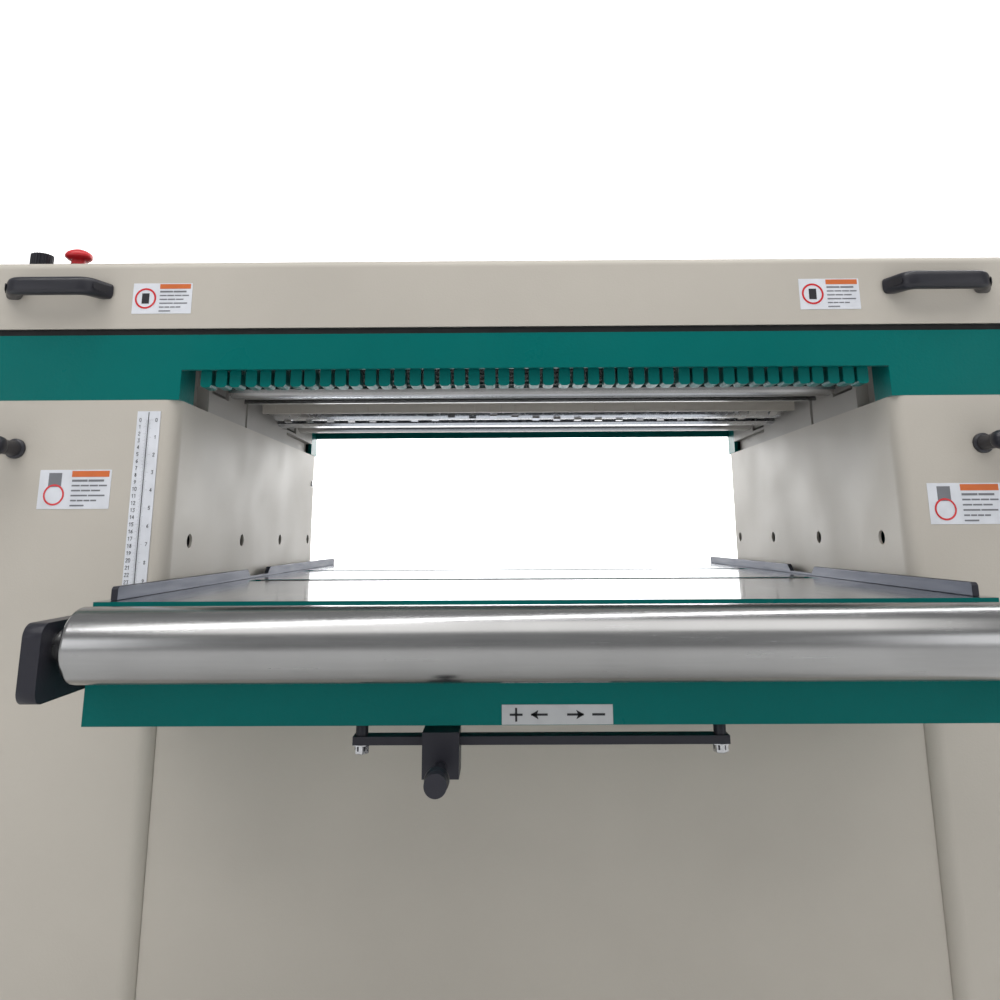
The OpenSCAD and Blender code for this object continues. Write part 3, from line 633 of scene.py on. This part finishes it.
def notice_plate(name, low, high, lines, body, block):
    """A plain plate: a ring and a block on the left, a coloured band and grey bars on the right."""
    x0, z0 = low
    x1, z1 = high
    face = FRONT_Y - PLATE_THICK
    ink = face - INK_LIFT
    width = x1 - x0
    tall = z1 - z0
    bm = bmesh.new()
    add_box(bm, (x0, face, z0), (x1, FRONT_Y - PLATE_GAP, z1), 0.0002, 1, 0)
    left = x0 + width * 0.22
    r = min(tall * (0.27 if block else 0.36), width * 0.18)
    zc = z0 + tall * (0.36 if block else 0.5)
    if block:
        low = (left - width * 0.09, ink, z0 + tall * 0.56)
        add_box(bm, low, (left + width * 0.09, face, z1 - tall * 0.08), 0.0, 1, 3)
    else:
        low = (left - r * 0.34, ink, zc - r * 0.5)
        add_box(bm, low, (left + r * 0.34, face, zc + r * 0.5), 0.0, 1, 4)
    ring(bm, left, zc, r, r * 0.17, ink - 0.0001, 2)
    bx0 = x0 + width * 0.45
    bx1 = x1 - width * 0.03
    band = tall * 0.155
    add_box(bm, (bx0, ink, z1 - band - tall * 0.03), (bx1, face, z1 - tall * 0.03), 0.0, 1, 1)
    pitch = (tall * 0.76) / lines
    for i in range(lines):
        z = z1 - tall * 0.03 - band - pitch * (i + 0.75)
        share = (0.88, 0.97, 0.8, 0.93, 0.72, 0.4)[i % 6]
        end = bx0 + (bx1 - bx0) * share
        thick = pitch * (0.42 if i == 0 else 0.30)
        words = 2 + (i * 2) % 3 if i < lines - 1 else 1
        span = (end - bx0) / words
        for k in range(words):
            a = bx0 + k * span + width * 0.008
            ink_line(bm, (a + thick / 2, z), (a + span - width * 0.012 - thick / 2, z), thick, ink, 3)
    finish_piece(name, bm, [WHITE, ORANGE, RED, GREY_INK, INK], body)


def feed_plate():
    """The light plate on the table's front: plus and minus signs, each with an arrow."""
    x0, x1, z0, z1 = 0.005, 0.129, 0.5115, 0.5325
    face = TABLE_LOW.y - PLATE_THICK
    y = face - INK_LIFT
    z = (z0 + z1) / 2
    bm = bmesh.new()
    add_box(bm, (x0, face, z0), (x1, TABLE_LOW.y - PLATE_GAP, z1), 0.0002, 1, 0)
    thick = 0.0024
    ink_line(bm, (x0 + 0.010, z), (x0 + 0.022, z), thick, y, 1)
    ink_line(bm, (x0 + 0.016, z - 0.006), (x0 + 0.016, z + 0.006), thick, y, 1)
    ink_line(bm, (x1 - 0.022, z), (x1 - 0.010, z), thick, y, 1)
    for tip, way in ((x0 + 0.032, 1), (x1 - 0.032, -1)):
        ink_line(bm, (tip + way * 0.002, z), (tip + way * 0.018, z), thick, y, 1)
        head = [(tip, z), (tip + way * 0.009, z + 0.0050), (tip + way * 0.007, z),
                (tip + way * 0.009, z - 0.0050)]
        bm.faces.new([bm.verts.new((a, y, b)) for a, b in head]).material_index = 1
    finish_piece("feed_direction_plate", bm, [PLATE_GREY, INK], "table")


scale_marks()
notice_plate("hood_notice_left", (-0.553, 1.048), (-0.463, 1.096), 6, "hood", False)
notice_plate("hood_notice_right", (0.457, 1.048), (0.548, 1.096), 6, "hood", False)
notice_plate("column_notice_left", (-0.663, 0.758), (-0.559, 0.814), 6, "frame", True)
notice_plate("column_notice_right", (0.615, 0.730), (0.720, 0.788), 6, "frame", True)
feed_plate()


# ---- controls -----------------------------------------------------------------------------

def stop_button():
    """Red mushroom head on its stem, and the steel collar round it."""
    low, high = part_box("emergency_stop")
    x, y, _ = middle("emergency_stop")
    tall = high.z - low.z
    r = (high.x - low.x) / 2
    profile = [(0, 0), (0, 0.0109), (0.018, 0.0109), (0.0185, 0.0140), (0.0215, r - 0.002),
               (0.024, r), (0.0275, r - 0.0003), (0.031, r - 0.0025), (0.034, r - 0.007),
               (tall - 0.0006, 0.009), (tall, 0.004), (tall, 0)]
    bm = bmesh.new()
    add_lathe(bm, profile, (x, y, low.z), (0, 0, 1), 56)
    finish_piece("stop_mushroom", bm, [RED], "emergency_stop",
                 ["emergency_stop"], 50)
    ring_profile = [(0, 0.0112), (0, 0.0154), (0.0112, 0.0154), (0.0122, 0.0146),
                    (0.0122, 0.0112), (0, 0.0112)]
    bm = bmesh.new()
    add_lathe(bm, ring_profile, (x, y, PANEL_TOP), (0, 0, 1), 56)
    ribs = 28
    for i in range(ribs):
        a = 2 * math.pi * i / ribs
        out = Vector((math.cos(a), math.sin(a), 0))
        foot = Vector((x, y, PANEL_TOP + 0.0015)) + out * 0.0152
        side = Vector((-out.y, out.x, 0))
        add_prism(bm, [(-0.0009, 0), (0.0009, 0), (0.0009, 0.009), (-0.0009, 0.009)], foot, side,
                  (0, 0, 1), 0.0008)
    finish_piece("stop_collar", bm, [GROUND], "hood")


def start_cap():
    """Green push button with a dished top in a thin bezel."""
    low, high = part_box("start_button")
    x, y, _ = middle("start_button")
    tall = high.z - low.z
    cap = [(0, 0), (0, 0.0107), (tall - 0.001, 0.0107), (tall, 0.0098), (tall - 0.0002, 0.0085),
           (tall - 0.0012, 0.004), (tall - 0.0014, 0)]
    bm = bmesh.new()
    add_lathe(bm, cap, (x, y, low.z), (0, 0, 1), 48)
    finish_piece("start_cap", bm, [LAMP_GREEN], "start_button",
                 ["start_button"], 45)
    bezel = [(0, 0.0113), (0, 0.0150), (0.0025, 0.0145), (0.0035, 0.0130), (0.0035, 0.0113),
             (0, 0.0113)]
    bm = bmesh.new()
    add_lathe(bm, bezel, (x, y, PANEL_TOP), (0, 0, 1), 48)
    finish_piece("start_bezel", bm, [GROUND], "hood")


def speed_dial():
    """White pointer line on the knob and a fan of marks round it on the panel."""
    x, y, _ = middle("speed_knob")
    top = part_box("speed_knob")[1].z
    bm = bmesh.new()
    add_box(bm, (x - 0.0008, y + 0.003, top), (x + 0.0008, y + 0.0155, top + 0.0006), 0.0002, 1)
    add_lathe(bm, [(0, 0), (0, 0.012), (0.0009, 0.0112), (0.0009, 0)], (x, y, top - 0.0004),
              (0, 0, 1), 40, 1)
    finish_piece("knob_pointer", bm, [WHITE, BLACK], "speed_knob")
    bm = bmesh.new()
    for i in range(11):
        a = math.radians(225 - 27 * i)
        along = Vector((math.cos(a), math.sin(a), 0))
        side = Vector((-along.y, along.x, 0))
        place = Vector((x, y, PANEL_TOP)) + along * 0.0205
        reach = 0.005 if i % 5 == 0 else 0.0032
        add_prism(bm, [(0, -0.0005), (reach, -0.0005), (reach, 0.0005), (0, 0.0005)], place,
                  along, side, 0.0003)
    finish_piece("dial_marks", bm, [WHITE], "hood")


stop_button()
start_cap()
speed_dial()


# ---- screws and small fittings ------------------------------------------------------------

def bracket_screws():
    """Socket screws and axle caps on the outer faces of the roller brackets."""
    low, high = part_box("roller_brackets")
    z = TABLE_HIGH.z - 0.050
    _, axle_y, axle_z = middle("rear_roller")
    bm = bmesh.new()
    for x, way in ((low.x, -1), (high.x, 1)):
        for y in (-0.620, -0.520, 0.520, 0.620):
            cap_screw(bm, (x, y, z), (way, 0, 0), 0.009, 0.007)
        for y in (-axle_y, axle_y):
            add_lathe(bm, [(0, 0), (0, 0.013), (0.0012, 0.0122), (0.0012, 0)], (x, y, axle_z),
                      (way, 0, 0), 32)
    finish_piece("bracket_screws", bm, [CHAIN], "table")


def guide_bar_nuts():
    """Washers and hexagonal nuts under the guide bar."""
    low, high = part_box("lever_guide_bar")
    _, y, _ = middle("lever_guide_bar")
    bm = bmesh.new()
    for x in (low.x + 0.009, high.x - 0.009):
        hex_head(bm, (x, y, low.z + 0.007), (0, 0, -1), 0.0084, 0.0105)
    finish_piece("guide_bar_nuts", bm, [GROUND], "table")


def lever_ball():
    """Turned stem and ball grip of the bed roller lever."""
    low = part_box("bed_roller_lever")[0]
    x, _, _ = middle("bed_roller_lever")
    z = low.z + 0.012
    ball = 0.0135
    turn = [math.radians(a) for a in range(20, 181, 16)]
    profile = [(0, 0), (0, 0.0068), (0.030, 0.0062), (0.034, 0.0075), (0.036, 0.0075)]
    profile += [(0.049 - ball * math.cos(a), ball * math.sin(a)) for a in turn]
    bm = bmesh.new()
    add_lathe(bm, profile, (x, low.y + 0.068, z), (0, -1, 0), 36)
    finish_piece("lever_grip", bm, [BLACK], "bed_roller_lever", (), 50)


def wall_nut():
    """Cap nut on the left tunnel wall, near the outfeed side."""
    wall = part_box("left_column")[1].x
    nut = [(0, 0), (0, 0.0085), (0.0008, 0.0085), (0.0008, 0.0068), (0.0024, 0.0066),
           (0.0034, 0.0045), (0.0038, 0)]
    bm = bmesh.new()
    add_lathe(bm, nut, (wall, 0.402, 0.846), (1, 0, 0), 24)
    finish_piece("wall_cap_nut", bm, [GROUND], "frame")


def flange_screws():
    """Screws round the dust port's flange and at the control panel's corners."""
    flange_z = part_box("dust_port")[0].z + 0.006
    x, y, _ = middle("dust_port")
    reach = 0.115
    bm = bmesh.new()
    for i in range(8):
        a = math.radians(22.5 + 45 * i)
        hex_head(bm, (x + reach * math.cos(a), y + reach * math.sin(a), flange_z),
                 (0, 0, 1), 0.005, 0.0045)
    panel_low, panel_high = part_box("control_panel")
    for px in (panel_low.x + 0.008, panel_high.x - 0.008):
        for py in (panel_low.y + 0.008, panel_high.y - 0.008):
            cap_screw(bm, (px, py, PANEL_TOP), (0, 0, 1), 0.0032, 0.0022)
    finish_piece("hood_screws", bm, [GROUND], "hood")


bracket_screws()
guide_bar_nuts()
lever_ball()
wall_nut()
flange_screws()


# ---- floor, lights, world -----------------------------------------------------------------

def make_floor():
    """A pale floor much larger than the machine."""
    bpy.ops.mesh.primitive_plane_add(size=60.0, location=(0, 0, 0))
    floor = bpy.context.object
    floor.name = "studio_floor"
    mat, tree, shader = new_material("studio_floor")
    shader.inputs["Roughness"].default_value = 0.8
    vector = coordinates(tree)
    tree.links.new(ramp(tree, noise(tree, vector, 1.2), [(0.3, grey(0.80)), (0.7, grey(0.84))]),
                   shader.inputs["Base Color"])
    floor.data.materials.append(mat)


def area_light(name, place, target, size, power, colour=(1, 1, 1)):
    data = bpy.data.lights.new(name, "AREA")
    data.shape = "RECTANGLE"
    data.size, data.size_y = size
    data.energy = power
    data.color = colour
    light = bpy.data.objects.new(name, data)
    bpy.context.scene.collection.objects.link(light)
    light.location = place
    light.rotation_euler = (Vector(target) - Vector(place)).to_track_quat("-Z", "Y").to_euler()


def make_world():
    """Even grey light from all round, shown without a tone curve."""
    world = bpy.data.worlds.new("studio")
    world.use_nodes = True
    background = world.node_tree.nodes["Background"]
    background.inputs["Color"].default_value = (0.98, 0.99, 1.0, 1.0)
    background.inputs["Strength"].default_value = 0.34
    bpy.context.scene.world = world
    bpy.context.scene.view_settings.view_transform = "Standard"


def make_backdrop():
    """A tall lit screen well behind the machine, with a bright band level with the tunnel."""
    bpy.ops.mesh.primitive_plane_add(size=1.0, location=(0, 7.0, 4.6),
                                     rotation=(math.radians(90), 0, 0))
    screen = bpy.context.object
    screen.name = "studio_screen"
    screen.scale = (26.0, 9.6, 1.0)
    mat, tree, shader = new_material("studio_screen")
    split = tree.nodes.new("ShaderNodeSeparateXYZ")
    tree.links.new(coordinates(tree), split.inputs[0])
    lift = tree.nodes.new("ShaderNodeMath")
    lift.inputs[1].default_value = 0.5
    tree.links.new(split.outputs["Y"], lift.inputs[0])
    stops = [(0.15, grey(0.30)), (0.195, grey(0.65)), (0.24, grey(1.0)), (0.29, grey(1.0)),
             (0.35, grey(0.17))]
    tree.links.new(ramp(tree, lift.outputs[0], stops), shader.inputs["Emission Color"])
    shader.inputs["Base Color"].default_value = grey(0.8)
    shader.inputs["Emission Strength"].default_value = 6.6
    screen.data.materials.append(mat)


make_floor()
make_world()
make_backdrop()
area_light("key", (0.2, -2.9, 4.2), (0, -0.5, 0.7), (6.5, 2.6), 84, (1.0, 0.985, 0.96))
area_light("strip", (0.1, -0.80, 3.6), (0, -0.65, 0.6), (8.0, 0.18), 66, (1.0, 1.0, 1.0))
for side in (-1, 1):
    area_light("side_%d" % (side + 1), (side * 2.9, -3.4, 1.2), (-side * 0.3, -0.1, 0.85),
               (1.2, 1.5), 9, (0.97, 0.98, 1.0))
